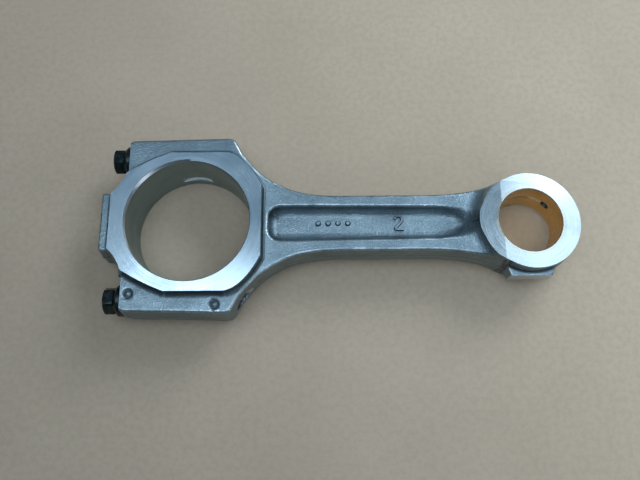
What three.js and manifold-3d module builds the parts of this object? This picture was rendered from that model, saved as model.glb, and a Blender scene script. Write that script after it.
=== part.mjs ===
// Connecting rod of a medium diesel engine: a forged rod and bearing cap, two
// flanged cap bolts, two ring dowels round the bolts and a bronze small-end bush.
//
// Datum: X runs along the rod, from the big end (-X) to the small end (+X). The
// rod lies flat, so both bore axes are along Z. Every shape is first drawn about
// the big bore's axis and the rod's middle plane, where it is symmetrical top to
// bottom, and the whole group is then moved so that the origin is at the centre
// of the footprint, on the surface that the rod lies on.

import * as THREE from 'three';
import { mergeVertices } from 'three/addons/utils/BufferGeometryUtils.js';
import Module from 'manifold-3d';

const wasm = await Module();
wasm.setup();

// ---------------------------------------------------------------- dimensions, mm

const CENTRES = 210;               // big bore axis to small bore axis

const BIG_BORE_R = 38;             // shell housing bore
const BIG_WIDTH = 39.5;            // across the machined big-end faces
const BORE_CHAMFER = 0.85;         // on the cap's half of the bore only
const CHAMFER_SHIFT = [-0.25, 0.55]; // its cutter ran off the bore's axis, so it is uneven
const LUG_WIDTH = 27.5;            // as-forged thickness of the bolt lugs
const BEAM_WIDTH = 23;             // as-forged thickness of the beam's flanges
const WEB_WIDTH = 9;               // between the troughs of the I section
const DRAFT = 1.1;                 // swell of a forged side wall at the middle plane
const JOINT_GAP = 0.03;            // each side of the plane between rod and cap

const RING_HALF_HEIGHT = 44;       // machined face outline, across
const RING_LEFT = -47.6;
const RING_RIGHT = 44.7;

const SEAT_X = -39.3;              // bolt head seats on the cap
const LUG_HALF_HEIGHT = 57;        // outer edge of the lugs at the joint, middle plane
const LUG_TAPER = 0.02;            // the lugs grow wider towards the beam, per mm
const SEAT_BAND = [33, 70];        // each side of the axis, the seats are milled this far
const CAP_PAD_X = -56.8;           // outer face of the cap's balance pad
const CAP_PAD_HALF = 19.6;
const CAP_PAD_CORNER = 1.2;
const CAP_PAD_ROOT_X = -38.6;      // inside the ring
const CAP_PAD_SHIFT = 1.8;         // the pad sits a little to one side of the axis

const BEAM_HALF = 17.7;            // half width of the beam at its waist
const TROUGH_START = 48.5;
const TROUGH_END = 172;
const TROUGH_HALF = 11.4;

const EYE_R = 30.91;               // small end, outside, at the middle plane
const EYE_X = 210.8;               // its outside is turned a little beyond the bore's axis
const EYE_WIDTH = 33;              // across its flat faces
const EYE_TIP = 178.7;             // the flat face reaches this far along the beam
const TAPER_START = 192.5;         // from here outwards the small end's faces close in
const TAPER_ANGLE = 5;             // degrees, each face
const EYE_PAD_Y = -33;             // locating pad on one side of the small end
const EYE_PAD_WIDTH = 13;

const BUSH_BORE_R = 20;
const BUSH_R = 22;
const BUSH_FIT = 0.05;             // modelled gap round the pressed-in bush
const OIL_HOLE_R = 3;
const OIL_HOLE_ANGLE = 46;         // degrees from the rod's long axis
const OIL_GROOVE_WIDTH = 3;
const OIL_GROOVE_DEPTH = 0.6;
const OIL_GROOVE_ARC = 84;         // degrees round the bush

const BOLT_Y = 46;                 // bolt axes, each side of the bore
const BOLT_END_X = 29.7;           // tip of the bolt, inside the tapped hole's mouth
const BOLT_HEAD_X = -51.9;         // end of the hexagon
const HEX_START_X = -46;           // hexagon meets the flange
const HEX_TURN = 22;               // degrees that a corner leans over from straight up
const HEX_FLATS = 15;              // across flats
const FLANGE_R = 9.7;
const FLANGE_EDGE_X = -42.6;       // the cone of the flange ends in a short rim here
const FLANGE_BREAK = 0.5;          // broken edge round the flange's seating face
const SHANK_R = 5.9;
const WAIST_R = 5.2;               // necked length between head and thread
const WAIST_X = -22;
const THREAD_START_X = 2;
const CLEARANCE_R = 6.3;           // bolt hole in the cap
const TAPPED_R = 6.15;             // threaded hole in the rod, modelled plain
const HEAD_GAP = 0.05;

const DOWEL_R = 7.2;
const DOWEL_BORE_R = 6.25;
const DOWEL_LENGTH = 12;
const DOWEL_FIT = 0.08;            // modelled radial gap round the ring dowels
const DOWEL_END_GAP = 0.5;

const TANG_DISC_R = 23;            // disc cutter that sinks the shells' tang slots
const TANG_WIDTH = 5.5;
const TANG_DEPTH = 1;
const TANG_Z = -10;

const BEYOND = 80;                 // past everything, for the blocks that halve a forging
const ROUND = 72;                  // facets round a bore
const SMALL_ROUND = 36;            // facets round a bolt

// ------------------------------------------------------------------- solid tools

function solid(geometry) {
  const bare = geometry.clone();
  bare.deleteAttribute('normal');
  bare.deleteAttribute('uv');
  const merged = mergeVertices(bare, 1e-5);
  return new wasm.Manifold(new wasm.Mesh({
    numProp: 3,
    vertProperties: new Float32Array(merged.attributes.position.array),
    triVerts: new Uint32Array(merged.index.array),
  }));
}

function geometryOf(manifold) {
  const { vertProperties, triVerts, numProp } = manifold.getMesh();
  const positions = new Float32Array((vertProperties.length / numProp) * 3);
  for (let i = 0; i < positions.length / 3; i += 1) {
    positions.set(vertProperties.subarray(i * numProp, i * numProp + 3), i * 3);
  }
  const geometry = new THREE.BufferGeometry();
  geometry.setAttribute('position', new THREE.BufferAttribute(positions, 3));
  geometry.setIndex(new THREE.BufferAttribute(new Uint32Array(triVerts), 1));
  geometry.computeVertexNormals();
  return geometry;
}

function join(...solids) {
  return solids.reduce((whole, next) => whole.add(next));
}

// A plate of the given outline and width, centred on the middle plane. Its side
// walls swell by `draft` from each face to the middle, as a forging's do.
function plate(shape, width, draft = 0, curveSegments = 10) {
  const flat = 0.4;
  const drafted = draft > 0;
  const geometry = new THREE.ExtrudeGeometry(shape, {
    depth: drafted ? flat : width,
    curveSegments,
    bevelEnabled: drafted,
    bevelThickness: (width - flat) / 2,
    bevelSize: draft,
    bevelSegments: 1,
  });
  geometry.translate(0, 0, drafted ? -flat / 2 : -width / 2);
  return solid(geometry);
}

function block([x0, x1], [y0, y1], [z0, z1]) {
  const geometry = new THREE.BoxGeometry(x1 - x0, y1 - y0, z1 - z0);
  geometry.translate((x0 + x1) / 2, (y0 + y1) / 2, (z0 + z1) / 2);
  return solid(geometry);
}

// A turned solid about Z at (x, 0). The profile is a closed list of [radius, z].
function turnedZ(profile, x, segments = ROUND) {
  const points = profile.map(([r, z]) => new THREE.Vector2(r, z));
  const geometry = new THREE.LatheGeometry([...points, points[0].clone()], segments);
  geometry.rotateX(Math.PI / 2);
  geometry.translate(x, 0, 0);
  return solid(geometry);
}

// A turned solid about a line along X at height y. The profile lists [x, radius]
// and starts and ends on the axis.
function turnedX(profile, y, segments = SMALL_ROUND) {
  const points = profile.map(([x, r]) => new THREE.Vector2(r, x));
  const geometry = new THREE.LatheGeometry(points, segments);
  geometry.rotateZ(-Math.PI / 2);
  geometry.translate(0, y, 0);
  return solid(geometry);
}

function rodAlongX(x0, x1, radius, y) {
  return turnedX([[x0, 0], [x0, radius], [x1, radius], [x1, 0]], y);
}

// A pin along Z at (x, 0), for bores.
function rodAlongZ(radius, height, x) {
  const geometry = new THREE.CylinderGeometry(radius, radius, height, ROUND);
  geometry.rotateX(Math.PI / 2);
  geometry.translate(x, 0, 0);
  return solid(geometry);
}

// Traces the same half outline above and below the X axis. `trace(pen, side)`
// draws from the first point to the last for side +1; the pen mirrors itself.
function mirroredShape(halfSteps) {
  const shape = new THREE.Shape();
  const [startX, startY] = halfSteps[0];
  shape.moveTo(startX, startY);
  for (const step of halfSteps.slice(1)) {
    if (step.length === 2) shape.lineTo(...step);
    else shape.quadraticCurveTo(...step);
  }
  const back = [...halfSteps].reverse();
  for (let i = 0; i < back.length; i += 1) {
    const step = back[i];
    const end = step.slice(-2);
    if (i === 0) shape.lineTo(end[0], -end[1]);
    const target = back[i + 1];
    if (target === undefined) break;
    const [x, y] = target.slice(-2);
    if (step.length === 2) shape.lineTo(x, -y);
    else shape.quadraticCurveTo(step[0], -step[1], x, -y);
  }
  return shape;
}

// ---------------------------------------------------------------------- outlines
// Half outlines above the X axis. [x, y] is a straight run to that point, and
// [cx, cy, x, y] a curve to x, y that leans towards cx, cy.

const lugEdge = (x) => LUG_HALF_HEIGHT + LUG_TAPER * x;

const ringOutline = [
  [RING_LEFT, 17.6],
  [-41.6, 22.8, -38.6, 31],
  [-24.8, 39.4, -12.2, RING_HALF_HEIGHT],
  [23.5, RING_HALF_HEIGHT],
  [35, 41.6, RING_RIGHT, 22.5],
];

const lugOutline = [
  [SEAT_X - 0.5, 25],
  [SEAT_X - 0.5, lugEdge(SEAT_X) - DRAFT - 1.6],
  [SEAT_X + 1.8, lugEdge(SEAT_X) - DRAFT],
  [23, lugEdge(23) - DRAFT],
  [26.2, lugEdge(23) - DRAFT, 27.9, 53.6],
  [32.1, 46],
  [45, 30],
  [46, 0],
];

const flankOutline = [
  [20, 40],
  [36.5, 39.5],
  [47, 28.5, 62, 22.2],
  [76, 17.2, 98, BEAM_HALF],
  [150, BEAM_HALF],
  [178, 18.6, 194, 26.4],
  [CENTRES, 28],
];

const troughOutline = [
  [TROUGH_START, 3.5],
  [TROUGH_START, TROUGH_HALF, 57, TROUGH_HALF],
  [68, TROUGH_HALF + 0.2],
  [155, TROUGH_HALF - 1],
  [166, 9.4, TROUGH_END, 6],
];

const eyeWedge = [
  [EYE_TIP, 1],
  [EYE_TIP + 1.6, 8, 188, 19.6],
  [CENTRES - 14, 26.2],
];

// ---------------------------------------------------------------- the big end

// Everything that is bored or milled out of both halves together.
function bigEndCuts() {
  const cuts = [rodAlongZ(BIG_BORE_R, BIG_WIDTH + 4, 0)];
  const dowelReach = DOWEL_LENGTH / 2 + DOWEL_END_GAP;
  for (const side of [-1, 1]) {
    const y = side * BOLT_Y;
    cuts.push(rodAlongX(SEAT_X - 20, 0, CLEARANCE_R, y));
    cuts.push(rodAlongX(-1, 60, TAPPED_R, y));
    cuts.push(rodAlongX(-dowelReach, dowelReach, DOWEL_R + DOWEL_FIT, y));
    const band = SEAT_BAND.map((edge) => side * edge).sort((a, b) => a - b);
    cuts.push(block([SEAT_X - 20, SEAT_X], band, [-LUG_WIDTH, LUG_WIDTH]));
  }
  const disc = new THREE.CylinderGeometry(TANG_DISC_R, TANG_DISC_R, TANG_WIDTH, ROUND);
  disc.rotateX(Math.PI / 2);
  disc.translate(0, BIG_BORE_R + TANG_DEPTH - TANG_DISC_R, TANG_Z);
  cuts.push(solid(disc));
  return join(...cuts);
}

const bigEnd = join(
  plate(mirroredShape(ringOutline), BIG_WIDTH),
  plate(mirroredShape(lugOutline), LUG_WIDTH, DRAFT),
);

// -------------------------------------------------------------------- the pieces

function bearingCap() {
  const padX = CAP_PAD_X + DRAFT;
  const padHalf = CAP_PAD_HALF - DRAFT;
  const pad = plate(mirroredShape([
    [padX, padHalf - CAP_PAD_CORNER],
    [padX + CAP_PAD_CORNER, padHalf],
    [CAP_PAD_ROOT_X, padHalf],
  ]), BEAM_WIDTH, DRAFT).translate([0, CAP_PAD_SHIFT, 0]);
  const half = BIG_WIDTH / 2;
  const chamfer = turnedZ([
    [BIG_BORE_R - 2, -half - 1],
    [BIG_BORE_R + BORE_CHAMFER + 1, -half - 1],
    [BIG_BORE_R - 1, -half + BORE_CHAMFER + 1],
    [BIG_BORE_R - 1, half - BORE_CHAMFER - 1],
    [BIG_BORE_R + BORE_CHAMFER + 1, half + 1],
    [BIG_BORE_R - 2, half + 1],
  ], 0).translate([...CHAMFER_SHIFT, 0]);
  const capSide = block([-BEYOND, -JOINT_GAP], [-BEYOND, BEYOND], [-BEYOND, BEYOND]);
  return join(bigEnd, pad).subtract(join(bigEndCuts(), chamfer)).intersect(capSide);
}

// The small end: a round eye, drawn out to a blunt wedge along the beam, with a
// flat locating pad on one side. Its faces are flat near the beam and close in
// beyond TAPER_START.
function smallEnd() {
  const disc = new THREE.Shape();
  disc.absarc(EYE_X, 0, EYE_R - DRAFT, 0, 2 * Math.PI);
  const round = plate(disc, EYE_WIDTH, DRAFT, ROUND / 2);
  const wedge = plate(mirroredShape(eyeWedge), EYE_WIDTH);
  const pad = new THREE.Shape();
  pad.moveTo(194, -25);
  pad.lineTo(197.5, EYE_PAD_Y);
  pad.lineTo(222.5, EYE_PAD_Y);
  pad.lineTo(228, -22);
  return join(round, wedge, plate(pad, EYE_PAD_WIDTH));
}

// The two thin wedges taken off above and below the small end's tapered faces.
function taperCuts() {
  const far = EYE_X + EYE_R + 5;
  const rise = (far - TAPER_START) * Math.tan(THREE.MathUtils.degToRad(TAPER_ANGLE));
  const face = EYE_WIDTH / 2;
  const cuts = [1, -1].map((side) => {
    const wedge = new THREE.Shape();
    wedge.moveTo(TAPER_START, side * face);
    wedge.lineTo(far, side * (face - rise));
    wedge.lineTo(far, side * (face + 3));
    wedge.lineTo(TAPER_START, side * (face + 3));
    const geometry = new THREE.ExtrudeGeometry(wedge, { depth: 2 * BEYOND, bevelEnabled: false });
    geometry.translate(0, 0, -BEYOND);
    geometry.rotateX(Math.PI / 2);
    return solid(geometry);
  });
  return join(...cuts);
}

function oilHole(from, to) {
  const geometry = new THREE.CylinderGeometry(OIL_HOLE_R, OIL_HOLE_R, to - from, SMALL_ROUND);
  geometry.rotateZ(-Math.PI / 2);
  geometry.translate((from + to) / 2, 0, 0);
  geometry.rotateZ(THREE.MathUtils.degToRad(OIL_HOLE_ANGLE));
  geometry.translate(CENTRES, 0, 0);
  return solid(geometry);
}

function connectingRod() {
  const flank = plate(mirroredShape(flankOutline), BEAM_WIDTH, DRAFT);
  const trough = plate(mirroredShape(troughOutline), BEAM_WIDTH + 4);
  const web = block(
    [TROUGH_START - 2, TROUGH_END + 2],
    [-BEAM_HALF, BEAM_HALF],
    [-WEB_WIDTH / 2, WEB_WIDTH / 2],
  );
  const beam = flank.subtract(trough.subtract(web));
  const bushSeat = rodAlongZ(BUSH_R + BUSH_FIT, EYE_WIDTH + 4, CENTRES);
  const cuts = join(bigEndCuts(), bushSeat, taperCuts(), oilHole(BUSH_R - 2, EYE_R + 6));
  const rodSide = block([JOINT_GAP, CENTRES + BEYOND], [-BEYOND, BEYOND], [-BEYOND, BEYOND]);
  return join(bigEnd, beam, smallEnd()).subtract(cuts).intersect(rodSide);
}

function smallEndBush() {
  const half = EYE_WIDTH / 2 - 0.2;
  const wall = turnedZ([
    [BUSH_BORE_R, -half],
    [BUSH_R, -half],
    [BUSH_R, half],
    [BUSH_BORE_R, half],
  ], CENTRES);
  const grooveHalf = OIL_GROOVE_WIDTH / 2;
  const groove = turnedZ([
    [BUSH_BORE_R - 2, -grooveHalf],
    [BUSH_BORE_R + OIL_GROOVE_DEPTH, -grooveHalf],
    [BUSH_BORE_R + OIL_GROOVE_DEPTH, grooveHalf],
    [BUSH_BORE_R - 2, grooveHalf],
  ], CENTRES);
  const start = THREE.MathUtils.degToRad(OIL_HOLE_ANGLE);
  const end = start + THREE.MathUtils.degToRad(OIL_GROOVE_ARC);
  const sector = new THREE.Shape();
  sector.moveTo(CENTRES, 0);
  sector.absarc(CENTRES, 0, BUSH_R + 3, start, end, false);
  sector.lineTo(CENTRES, 0);
  const cutGroove = groove.intersect(plate(sector, OIL_GROOVE_WIDTH + 2));
  return wall.subtract(join(cutGroove, oilHole(BUSH_BORE_R - 3, BUSH_R + 3), taperCuts()));
}

function dowelSleeve(side) {
  const half = DOWEL_LENGTH / 2;
  const lead = 0.5;
  const outside = turnedX([
    [-half, 0],
    [-half, DOWEL_R - lead],
    [-half + lead, DOWEL_R],
    [half - lead, DOWEL_R],
    [half, DOWEL_R - lead],
    [half, 0],
  ], side * BOLT_Y);
  return outside.subtract(rodAlongX(-half - 1, half + 1, DOWEL_BORE_R, side * BOLT_Y));
}

// Hexagon head with a chamfered end, on a conical flange that seats on the cap,
// then a necked shank and a thread that fills the tapped hole.
function capBolt(side) {
  const y = side * BOLT_Y;
  const corners = HEX_FLATS / Math.sqrt(3);
  const hexagon = new THREE.CylinderGeometry(corners, corners, HEX_START_X - BOLT_HEAD_X + 1, 6);
  hexagon.rotateY(-THREE.MathUtils.degToRad(HEX_TURN));
  hexagon.rotateZ(Math.PI / 2);
  hexagon.translate((BOLT_HEAD_X + HEX_START_X + 1) / 2, y, 0);
  const envelope = turnedX([
    [BOLT_HEAD_X, 0],
    [BOLT_HEAD_X, HEX_FLATS / 2 - 0.6],
    [BOLT_HEAD_X + 1.3, corners + 0.3],
    [HEX_START_X + 1, corners + 0.3],
    [HEX_START_X + 1, 0],
  ], y);
  const seat = SEAT_X - HEAD_GAP;
  const stem = turnedX([
    [HEX_START_X, 0],
    [HEX_START_X, HEX_FLATS / 2 - 0.2],
    [FLANGE_EDGE_X, FLANGE_R],
    [seat - FLANGE_BREAK, FLANGE_R],
    [seat, FLANGE_R - FLANGE_BREAK],
    [seat, SHANK_R],
    [WAIST_X, SHANK_R],
    [WAIST_X + 1, WAIST_R],
    [THREAD_START_X - 1, WAIST_R],
    [THREAD_START_X, SHANK_R],
    [BOLT_END_X - 1.2, SHANK_R],
    [BOLT_END_X, SHANK_R - 1.2],
    [BOLT_END_X, 0],
  ], y);
  return join(solid(hexagon).intersect(envelope), stem);
}

// ------------------------------------------------------------------- the assembly

const forged = { color: 0x6d7c86, roughness: 0.55, metalness: 0.85 };
const hardened = { color: 0x8f959a, roughness: 0.3, metalness: 1 };
const blackOxide = { color: 0x16181a, roughness: 0.42, metalness: 0.7 };
const bronze = { color: 0xa5763a, roughness: 0.38, metalness: 0.9 };

function piece(name, manifold, finish) {
  const mesh = new THREE.Mesh(geometryOf(manifold), new THREE.MeshStandardMaterial(finish));
  mesh.name = name;
  return mesh;
}

const connectingRodAssembly = new THREE.Group();
connectingRodAssembly.add(
  piece('connecting_rod', connectingRod(), forged),
  piece('bearing_cap', bearingCap(), forged),
  piece('cap_bolt_upper', capBolt(1), blackOxide),
  piece('cap_bolt_lower', capBolt(-1), blackOxide),
  piece('dowel_sleeve_upper', dowelSleeve(1), hardened),
  piece('dowel_sleeve_lower', dowelSleeve(-1), hardened),
  piece('small_end_bush', smallEndBush(), bronze),
);
const footprintCentre = (CAP_PAD_X + EYE_X + EYE_R) / 2;
connectingRodAssembly.position.set(-footprintCentre, 0, BIG_WIDTH / 2);

export default connectingRodAssembly;
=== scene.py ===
"""The looks of the connecting rod: forged skins, machined faces, bolts, dowels and bush.

The rod and its cap are made as they are on the real part. A forging is built as a
distance field with drafted walls, rounded edges and fillets, meshed, and then bored,
ground and drilled with exact cutters. Sizes are in millimetres about the big bore's
axis and the rod's middle plane, and `place` moves them into the frame, in metres.
"""
import math

import bmesh
import bpy
import numpy as np
from mathutils import Matrix, Vector


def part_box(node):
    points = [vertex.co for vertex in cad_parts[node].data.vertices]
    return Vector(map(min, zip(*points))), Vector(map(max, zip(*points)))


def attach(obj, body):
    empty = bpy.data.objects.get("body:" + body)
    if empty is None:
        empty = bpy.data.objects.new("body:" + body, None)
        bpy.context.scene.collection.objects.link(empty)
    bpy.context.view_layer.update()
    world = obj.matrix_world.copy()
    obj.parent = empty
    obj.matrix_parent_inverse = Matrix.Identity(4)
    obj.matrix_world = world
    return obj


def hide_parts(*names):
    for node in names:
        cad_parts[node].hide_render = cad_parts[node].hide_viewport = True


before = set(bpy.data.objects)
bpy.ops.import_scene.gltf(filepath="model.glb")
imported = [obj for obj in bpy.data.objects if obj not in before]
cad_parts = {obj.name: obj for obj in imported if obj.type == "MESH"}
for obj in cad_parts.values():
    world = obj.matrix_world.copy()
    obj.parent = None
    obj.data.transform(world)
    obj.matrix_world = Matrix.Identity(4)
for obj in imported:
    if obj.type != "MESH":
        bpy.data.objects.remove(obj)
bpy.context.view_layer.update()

# ------------------------------------------------------------------ driving sizes, mm


def box_mm(node):
    low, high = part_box(node)
    return np.array(low) * 1000, np.array(high) * 1000


CAP_LOW, CAP_HIGH = box_mm("bearing_cap")
ROD_LOW, ROD_HIGH = box_mm("connecting_rod")
BUSH_LOW, BUSH_HIGH = box_mm("small_end_bush")
BOLT_LOW, BOLT_HIGH = box_mm("cap_bolt_upper")
DOWEL_LOW, DOWEL_HIGH = box_mm("dowel_sleeve_upper")

JOINT_GAP = (ROD_LOW[0] - CAP_HIGH[0]) / 2
AXIS_X = (ROD_LOW[0] + CAP_HIGH[0]) / 2          # big bore axis, in the frame
HALF = (CAP_HIGH[2] - CAP_LOW[2]) / 2             # half the big end's width
CENTRES = (BUSH_LOW[0] + BUSH_HIGH[0]) / 2 - AXIS_X
BUSH_R = (BUSH_HIGH[0] - BUSH_LOW[0]) / 2
BOLT_Y = (BOLT_LOW[1] + BOLT_HIGH[1]) / 2
BOLT_HEAD_X = BOLT_LOW[0] - AXIS_X
BOLT_END_X = BOLT_HIGH[0] - AXIS_X
FLANGE_R = (BOLT_HIGH[2] - BOLT_LOW[2]) / 2
DOWEL_R = (DOWEL_HIGH[2] - DOWEL_LOW[2]) / 2
DOWEL_HALF = (DOWEL_HIGH[0] - DOWEL_LOW[0]) / 2
CAP_PAD_X = CAP_LOW[0] - AXIS_X
EYE_SHIFT = 0.8                 # the small end's outside is centred beyond its bore
EYE_INSET = 0.7                 # its outline is drawn this far in, for the draft to add
EYE_X = CENTRES + EYE_SHIFT
EYE_R = ROD_HIGH[0] - AXIS_X - EYE_X

BIG_BORE_R = 38
ROD_CHAMFER = 0.35
CAP_EDGE_BREAK = 0.2
CAP_CHAMFER = 0.85
CHAMFER_SHIFT = (-0.25, 0.55)   # the cap's chamfer cutter ran off the bore's axis
LUG_HALF = 13.75
BEAM_HALF = 11.5
WEB_HALF = 4.5
EYE_HALF = 16.5
TAPER_START = 192.5             # from here on the small end's faces close in
TAPER = math.tan(math.radians(5))
BUSH_BORE_R = 20
BUSH_CHAMFER = 0.4
OIL_HOLE_ANGLE = math.radians(46)
OIL_HOLE_R = 3
GROOVE_HALF = 1.5
GROOVE_DEPTH = 0.65

SEAT_X = -39.3                  # where the bolts' flanges bear on the cap
HEX_FLATS = 15
HEX_START_X = -46
HEX_TURN = math.radians(22)     # a corner leans this far over from straight up
SHANK_R = 5.95
NECK_R = 5.2
THREAD_R = 6
THREAD_DEPTH = 0.85
THREAD_PITCH = 1.5
THREAD_START_X = 2
BOLT_END_R = 4.9
TAP_R = 6.15
CLEARANCE_R = 6.3
SPOT_FACE_X = 34.2
SPOT_FACE_R = 7.4
DOWEL_BORE_R = 6.25

EYE_PAD_Y = -33                 # the small end's milled pad
PAD_HALF_HEIGHT = 6
PAD_SLOPE = 0.12                # the pad grows thicker towards the eye
TANG_CUTTER_R = 23
TANG_HALF = 2.75
TANG_DEPTH = 1
TANG_Z = -10
RAW = 1.8                       # machining allowance that the cutters take off
PIP_START_X = 79.5
PIP_PITCH = 6.2
PIP_COUNT = 4
FIGURE_X = 127.5
FIGURE_HEIGHT = 8.6


def place(points):
    """Points about the big bore and the middle plane, in mm, to the frame, in metres."""
    return (np.asarray(points, float) + [AXIS_X, 0, HALF]) / 1000


# ----------------------------------------------------------------------- plan outlines
# Half outlines above the X axis. (x, y) is a straight run to that point, and
# (cx, cy, x, y) a curve to x, y that leans towards cx, cy.

RING = [(-47.6, 17.6), (-41.6, 22.8, -38.6, 31), (-24.8, 39.4, -12.2, 44),
        (23.5, 44), (35, 41.6, 44.7, 22.5)]
BODY = [(SEAT_X - 2, 25), (SEAT_X - 2, 52.9), (SEAT_X + 1.8, 55.1), (23, 56.4),
        (26.2, 56.4, 27.9, 53.4), (32.1, 45.7), (36.9, 39.7, 42.3, 33.8),
        (50.5, 26.8, 62, 22), (76, 17.2, 98, 17.7),
        (150, 17.7), (178, 18.4, 194, 25.8), (CENTRES, 27)]
TROUGH = [(48.5, 3.5), (48.5, 11.1, 57, 11.1), (68, 11.1), (153, 10.2), (167, 9.4, 181, 2.5)]
CAP_PAD = [(CAP_PAD_X + 1.3, 17.6), (CAP_PAD_X + 2.2, 18.5), (-39, 18.5)]
CAP_PAD_SHIFT = [0, 1.8]
EYE_WEDGE = [(178.7, 0.8), (180.3, 8, 188, 19.6), (CENTRES - 14, 26.3)]
PAD_RAW_Y = EYE_PAD_Y - 0.5
EYE_PAD = [(194, -24), (197.5, PAD_RAW_Y), (222.5, PAD_RAW_Y), (229, -20)]

# How far each drafted wall swells out at the middle plane, against its top.
BODY_SWELL = 1.1
EYE_SWELL = 0.9
RING_SWELL = 0.5
CAP_PAD_SWELL = 0.5
EYE_PAD_SWELL = 0.4
FLASH_SWELL = 0.28
FLASH_WIDTH = 0.7

# Edge and fillet radii. The ring's fillet is tighter on the beam's side.
SHARP_EDGE = 0.5
PAD_EDGE = 0.8
CAP_PAD_EDGE = 1.0
BODY_EDGE = 1.7
TROUGH_EDGE = 1.3
TROUGH_FILLET = 5
TROUGH_DRAFT = 0.2
RING_FILLET = 3.6
RING_FILLET_LOSS = 1.6
CAP_PAD_FILLET = 1.5
SHOULDER_FILLET = 10
TROUGH_END_FILLET = 14
EYE_PAD_FILLET = 0.9
EYE_FILLET = 0.8
SKIN_UNEVENNESS = 0.09

FORGING_REACH_Y = 59            # past the lugs on both sides
LUG_SLOPE = (26, 50)            # the top falls from lug height to beam height
RUNOUT_X = 152                  # the trough's floor rises from here to the small end
RUNOUT_SPREAD = 160
RUNOUT_EDGE_GAIN = 2.2


def traced(steps, pieces=12):
    """The corner points of a half outline, its curves cut into short runs."""
    points = [np.array(steps[0], float)]
    for step in steps[1:]:
        end = np.array(step[-2:], float)
        if len(step) == 2:
            points.append(end)
            continue
        start, lean = points[-1], np.array(step[:2], float)
        for t in np.linspace(0, 1, pieces + 1)[1:]:
            points.append((1 - t) ** 2 * start + 2 * t * (1 - t) * lean + t * t * end)
    return np.array(points)


def mirrored(steps):
    half = traced(steps)
    return np.concatenate([half, (half * [1, -1])[::-1]])


def eye_outline():
    turn = np.linspace(0, 2 * math.pi, 96, endpoint=False)
    radius = EYE_R - EYE_INSET
    return np.stack([EYE_X + radius * np.cos(turn), radius * np.sin(turn)], axis=1)


# ---------------------------------------------------------------------- distance fields


def outline_distance(x, y, corners):
    """Signed distance to a closed outline, negative inside."""
    nearest = np.full(np.broadcast(x, y).shape, 1e9)
    inside = np.zeros(nearest.shape, bool)
    for (x0, y0), (x1, y1) in zip(corners, np.roll(corners, -1, axis=0)):
        run, rise = x1 - x0, y1 - y0
        length2 = run * run + rise * rise
        if length2 < 1e-12:
            continue
        along = np.clip(((x - x0) * run + (y - y0) * rise) / length2, 0, 1)
        gap_x, gap_y = x - x0 - along * run, y - y0 - along * rise
        nearest = np.minimum(nearest, gap_x ** 2 + gap_y ** 2)
        crosses = (y0 > y) != (y1 > y)
        if rise != 0:
            inside ^= crosses & (x < x0 + (y - y0) * run / rise)
    return np.where(inside, -1, 1) * np.sqrt(nearest)


class Plan:
    """Outline distances kept on a fine grid, because each is asked for many times."""

    def __init__(self, outlines, low, high, step=0.4):
        self.low, self.step = np.array(low, float), step
        xs = np.arange(low[0], high[0] + step, step)
        ys = np.arange(low[1], high[1] + step, step)
        grid = np.meshgrid(xs, ys, indexing="ij")
        self.shape = grid[0].shape
        self.layers = {name: outline_distance(*grid, corners)
                       for name, corners in outlines.items()}

    def at(self, x, y, wanted=None):
        """The outlines' distances at x, y, between the grid's points."""
        u = np.clip((x - self.low[0]) / self.step, 0, self.shape[0] - 1.001)
        v = np.clip((y - self.low[1]) / self.step, 0, self.shape[1] - 1.001)
        i, j = u.astype(int), v.astype(int)
        s, t = u - i, v - j
        return {
            name: (layer[i, j] * (1 - s) + layer[i + 1, j] * s) * (1 - t)
            + (layer[i, j + 1] * (1 - s) + layer[i + 1, j + 1] * s) * t
            for name, layer in self.layers.items() if wanted in (None, name)
        }


def rounded_both(a, b, radius):
    """Where both fields are inside, with the edge between them rounded."""
    outer = np.hypot(np.maximum(a + radius, 0), np.maximum(b + radius, 0))
    return np.minimum(np.maximum(a, b), -radius) + outer


def filleted_either(a, b, radius):
    """Where either field is inside, with a fillet in the corner between them."""
    return -rounded_both(-a, -b, radius)


def smooth_step(value, start, end):
    t = np.clip((value - start) / (end - start), 0, 1)
    return t * t * (3 - 2 * t)


# Each wave's rates along x, y and z, in radians a millimetre, and its phase.
WAVES = [(0.31, 0.17, 0.23, 0.4), (0.19, 0.37, 0.11, 2.1), (0.43, 0.29, 0.31, 3.3),
         (0.13, 0.53, 0.47, 5.2), (0.61, 0.11, 0.37, 1.3), (0.23, 0.67, 0.17, 4.4)]


def waviness(x, y, z):
    """The slight unevenness of a die-forged skin."""
    total = 0
    for a, b, c, phase in WAVES:
        swing = np.sin(a * x + phase + 1.3 * np.sin(b * y))
        total = total + swing * np.sin(b * y + c * z + 2 * phase)
    return total / len(WAVES)


DIMPLES = [(-34.8, -44.3), (17.1, -51)]
DIMPLE_R = 2.1
DIMPLE_DEPTH = 0.95
DIMPLE_RISE = 0.45


def dimple_height(x, y):
    """Ejector marks on one lug: a ring pressed in round a small raised centre."""
    height = 0
    for cx, cy in DIMPLES:
        reach = np.hypot(x - cx, y - cy)
        pressed = np.exp(-((reach - DIMPLE_R) / 1.15) ** 2)
        height = height - DIMPLE_DEPTH * pressed + DIMPLE_RISE * np.exp(-reach ** 2)
    return height


def drafted(distance, height, half, swell):
    """A side wall that swells towards the middle plane, with the trimmed flash line."""
    flash = FLASH_SWELL * np.exp(-(height / FLASH_WIDTH) ** 2)
    return distance - swell * (1 - height / half) - flash


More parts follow.
